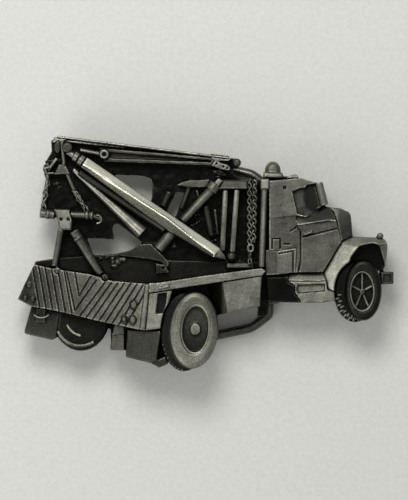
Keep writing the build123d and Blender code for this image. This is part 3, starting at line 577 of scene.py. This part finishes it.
def makeBar(start, end, width, bottom, top, soft):
    first, last = Vector(start), Vector(end)
    run = last - first
    pickNothing()
    bpy.ops.mesh.primitive_cube_add(size=1, location=(0, 0, 0))
    bar = bpy.context.object
    bar.scale = ((run.length + width) * mm, width * mm, (top - bottom) * mm)
    bpy.ops.object.transform_apply(location=False, rotation=False, scale=True)
    bpy.ops.object.mode_set(mode="EDIT")
    bpy.ops.mesh.select_all(action="SELECT")
    bpy.ops.mesh.bevel(offset=soft * mm, segments=2)
    bpy.ops.object.mode_set(mode="OBJECT")
    middle = (first + last) / 2
    place(bar, (middle.x, middle.y, (bottom + top) / 2), math.degrees(math.atan2(run.y, run.x)))
    return bar


mastChain = {
    "link": (1.62, 1.20, 0.36, 16, 8),      # length, width, wire, rings, sides
    "pitch": 0.92,
    "lean": 68,
    "strands": [
        # start, end, height of the links' middles, roll, swing
        ((10.5, 17.3), (10.5, 2.9), 13.30, 24, 24),
        ((11.75, 17.0), (11.45, 3.2), 13.05, -52, -28),
        ((10.7, -0.3), (10.6, -1.9), 12.9, 30, 8),
    ],
    "ring": (10.75, 1.3, 13.3),
    "ringSize": (1.25, 1.45, 1.0),          # beside a link
    "backs": [
        # start, end, width, lowest, highest, rounding
        ((10.7, 17.4), (10.6, -2.0), 1.0, 8.6, 12.75, 0.2),
        ((12.0, 17.2), (11.6, 3.0), 1.0, 8.6, 12.4, 0.2),
    ],
    "finish": {"finish": "satin", "tone": 0.50, "worn": 0.24},
    "backFinish": {"finish": "black", "tone": 0.8},
}


def addMastChain():
    spec = mastChain
    link = makeLink(*spec["link"])
    made = layStrands(link, spec)
    ring = copyOf(link)
    place(ring, spec["ring"], 90)
    ring.scale = spec["ringSize"]
    made.append(ring)
    bpy.data.objects.remove(link)
    settle("mast_chain_links", made, spec["finish"], instead=("mast_chain",))
    backs = [makeBar(*row) for row in spec["backs"]]
    settle("mast_chain_backs", backs, spec["backFinish"], ("mast_chain",))


hookChains = {
    "link": (2.0, 1.45, 0.46, 16, 8),
    "pitch": 1.35,
    "lean": 60,
    "strands": [
        ((-38.3, 15.8), (-38.9, 11.2), 11.6, 25, 22),
        ((-31.4, 14.6), (-28.8, 10.6), 11.9, 30, -20),
        ((-38.6, 20.4), (-37.9, 16.9), 11.3, 62, 12),
    ],
    "finish": {"finish": "satin", "tone": 0.7, "worn": 0.26},
}


def addHookChains():
    spec = hookChains
    link = makeLink(*spec["link"])
    made = layStrands(link, spec)
    bpy.data.objects.remove(link)
    settle("hook_chain_links", made, spec["finish"])


mastPosts = {
    # start, end, width, lowest, highest, rounding
    "posts": [
        ((4.72, 14.7), (4.02, 1.3), 1.3, 8.6, 13.4, 0.42),
        ((7.42, 14.7), (6.45, 1.0), 1.3, 8.6, 13.7, 0.42),
    ],
    "finish": {"finish": "satin", "tone": 1.5, "worn": 0.30, "brush": 90, "hold": (0.15, 0.6)},
}


def addMastPosts():
    bars = [makeBar(*row) for row in mastPosts["posts"]]
    settle("mast_post_bars", bars, mastPosts["finish"], instead=("mast_posts",))


hookClaw = {
    # what the far hook hangs by, and the dark plate behind it: start, end, width, lowest, highest, rounding
    "claw": [
        ((-35.9, 22.6), (-37.3, 20.8), 0.60, 8.6, 12.6, 0.15),
        ((-37.3, 20.8), (-38.6, 20.4), 0.55, 8.6, 12.4, 0.15),
        ((-38.6, 20.4), (-38.2, 19.2), 0.45, 8.6, 12.2, 0.15),
        ((-38.2, 19.2), (-36.6, 19.3), 0.45, 8.6, 12.0, 0.15),
    ],
    "plate": ((-37.7, 21.6), (-35.4, 21.9), 1.7, 7.6, 9.4, 0.2),
    "finish": {"finish": "satin", "tone": 0.6, "worn": 0.30},
    "plateFinish": {"finish": "black"},
}


def addHookClaw():
    settle("hook_claw", [makeBar(*row) for row in hookClaw["claw"]], hookClaw["finish"])
    settle("claw_back", [makeBar(*hookClaw["plate"])], hookClaw["plateFinish"])


def makeArc(centre, radii, wire, first, last, ground):
    height = ground if isinstance(ground, float) else topOf(ground, *centre)
    pickNothing()
    bpy.ops.mesh.primitive_torus_add(major_segments=36, minor_segments=8, location=(0, 0, 0),
                                     major_radius=radii[0] * mm, minor_radius=wire / 2 * mm)
    arc = bpy.context.object
    middle, half = math.radians((first + last) / 2), math.radians((last - first) / 2)

    def outside(co):
        away = (math.atan2(co.y, co.x) - middle + math.pi) % (2 * math.pi) - math.pi
        return abs(away) > half

    bpy.ops.object.mode_set(mode="EDIT")
    bpy.ops.mesh.select_all(action="SELECT")
    bpy.ops.transform.resize(value=(1, radii[1] / radii[0], 1), center_override=(0, 0, 0))
    bpy.ops.object.mode_set(mode="OBJECT")
    if last - first < 360:
        select(arc.data, outside)
        bpy.ops.object.mode_set(mode="EDIT")
        bpy.ops.mesh.delete(type="VERT")
        bpy.ops.mesh.select_all(action="SELECT")
        bpy.ops.mesh.fill_holes(sides=0)
        bpy.ops.object.mode_set(mode="OBJECT")
    place(arc, (*centre, height))
    return arc


arcs = {
    # piece: its finish, then centre, radii, wire, from angle, to angle, height or the form that it lies on
    "tow_hooks": ({"finish": "satin", "tone": 0.9, "worn": 0.30}, [
        ((-26.0, 8.2), (0.95, 0.95), 0.42, -100, 110, 11.7),
    ]),
    "tail_lamp_rims": ({"finish": "black", "worn": 0.05}, [
        ((-17.3, -12.2), (0.80, 1.00), 0.40, 0, 360, "tailboard"),
        ((-17.5, -15.8), (0.80, 1.00), 0.40, 0, 360, "tailboard"),
        ((-19.6, -15.7), (0.55, 0.85), 0.36, 0, 360, "tailboard"),
        ((-42.7, -8.0), (0.60, 0.80), 0.36, 0, 360, "tailboard"),
        ((-43.3, -10.5), (0.50, 0.70), 0.36, 0, 360, "tailboard"),
        ((-41.4, -10.8), (0.60, 0.75), 0.36, 0, 360, "tailboard"),
    ]),
    "leg_pin_rims": ({"finish": "black", "worn": 0.05}, [
        ((-23.9, -5.6), (0.42, 0.42), 0.26, 0, 360, "right_leg"),
        ((-35.7, -4.3), (0.42, 0.42), 0.26, 0, 360, "left_leg"),
    ]),
    "jib_pivot_rim": ({"finish": "satin", "tone": 1.6, "worn": 0.5}, [
        ((-24.35, 23.8), (0.80, 0.80), 0.36, 0, 360, "jib_arm"),
    ]),
    "far_tyre_ridges": ({"finish": "satin", "tone": 0.6, "worn": 0.34}, [
        ((-30.1, -15.2), (6.2, 7.0), 0.70, 205, 300, 11.65),
        ((-29.3, -14.4), (4.6, 5.4), 0.50, 205, 262, 11.65),
    ]),
    "far_flap_rib": ({"finish": "rod", "tone": 0.7, "worn": 0.4}, [
        ((-39.4, -13.9), (2.0, 1.5), 0.46, 200, 340, 12.75),
    ]),
    "rear_wheel_rim": ({"finish": "rod", "tone": 1.1, "worn": 0.5}, [
        ((-2.45, -18.05), (3.52, 5.95), 0.40, 0, 360, 16.72),
    ]),
}


def addArcs():
    for name, (finish, rows) in arcs.items():
        settle(name, [makeArc(*row) for row in rows], finish)


treads = {
    # piece: centre, half width, half height, first and last angle, lugs, height, lug (long, wide, deep), tone
    "rear_tyre_lugs": ((-5.1, -18.7), 4.75, 8.45, 196, 268, 19, 15.55, (1.1, 0.36, 0.40), 0.16),
    "front_tyre_lugs": ((35.7, -9.3), 3.95, 6.35, 186, 288, 15, 13.30, (1.0, 0.42, 0.45), 0.42),
}
lugShape = {"rounding": 0.10, "stagger": 0.3, "worn": 0.20}


def addTread(name):
    (x, y), halfWidth, halfHeight, first, last, count, height, size, tone = treads[name]
    pickNothing()
    bpy.ops.mesh.primitive_cube_add(size=1, location=(0, 0, 0))
    lug = bpy.context.object
    lug.scale = [part * mm for part in size]
    bpy.ops.object.transform_apply(location=False, rotation=False, scale=True)
    select(lug.data, lambda co: co.z > 0)
    bpy.ops.object.mode_set(mode="EDIT")
    bpy.ops.mesh.bevel(offset=lugShape["rounding"] * mm, segments=2)
    bpy.ops.object.mode_set(mode="OBJECT")
    made = []
    for number in range(count):
        angle = math.radians(first + (last - first) * number / (count - 1))
        outward = math.degrees(math.atan2(halfWidth * math.sin(angle), halfHeight * math.cos(angle)))
        stagger = lugShape["stagger"] if number % 2 else -lugShape["stagger"]
        block = copyOf(lug)
        reachX, reachY = (halfWidth + stagger) * math.cos(angle), (halfHeight + stagger) * math.sin(angle)
        place(block, (x + reachX, y + reachY, height), outward)
        made.append(block)
    bpy.data.objects.remove(lug)
    settle(name, made, {"finish": "satin", "tone": tone, "worn": lugShape["worn"]})


crumbs = {
    "seed": 11,
    # where the mould left rough lumps: middle, spread, how many, height of the ground, size
    "knots": [
        ((-21.1, -2.3), (1.5, 1.2), 9, 9.9, 0.75), ((-24.0, -1.3), (1.6, 0.4), 5, 9.8, 0.5),
        ((-2.6, 8.6), (1.3, 1.8), 8, 8.6, 0.6), ((1.6, 3.3), (1.3, 0.8), 8, 8.6, 0.6),
        ((6.6, -2.0), (1.6, 0.6), 7, 8.8, 0.6), ((3.0, 19.2), (1.3, 0.9), 8, 9.2, 0.7),
        ((-35.8, 16.8), (1.0, 0.9), 6, 8.6, 0.5), ((-9.5, 2.6), (2.2, 1.0), 7, 8.6, 0.6),
        ((12.9, -5.2), (0.5, 1.0), 4, 8.6, 0.5),
    ],
    "lift": 0.1,
    "tilt": 30,
    "stretch": ((0.7, 1.5), (0.5, 0.9), (0.7, 1.5)),
    "roughness": 0.7,
    "markSize": 0.45,
    "finish": {"finish": "dark", "tone": 0.45, "worn": 0.16, "lumpy": 0.9},
}


def addCrumbs():
    draw = random.Random(crumbs["seed"])
    tilt = crumbs["tilt"]
    pickNothing()
    bpy.ops.mesh.primitive_ico_sphere_add(subdivisions=2, radius=1 * mm, location=(0, 0, 0))
    lump = bpy.context.object
    made = []
    for (x, y), (reachX, reachY), count, ground, size in crumbs["knots"]:
        for _ in range(count):
            crumb = copyOf(lump)
            where = (x + reachX * draw.uniform(-1, 1), y + reachY * draw.uniform(-1, 1), ground + crumbs["lift"])
            place(crumb, where, draw.uniform(0, 180), draw.uniform(-tilt, tilt), draw.uniform(-tilt, tilt))
            crumb.scale = [size * draw.uniform(low, high) for low, high in crumbs["stretch"]]
            made.append(crumb)
    bpy.data.objects.remove(lump)
    piece = settle("mould_crumbs", made, crumbs["finish"])
    rough = piece.modifiers.new("rough", "DISPLACE")
    rough.texture = cloudTexture("crumb_mark", crumbs["markSize"], 1)
    rough.texture_coords = "LOCAL"
    rough.strength = crumbs["roughness"] * mm
    bpy.ops.object.modifier_apply(modifier="rough")


addCastForms()
addMastChain()
addHookChains()
addMastPosts()
addHookClaw()
addArcs()
for name in treads:
    addTread(name)
addCrumbs()

addCamera()
addLights()
addFloor()
bpy.context.scene.view_settings.view_transform = "Standard"
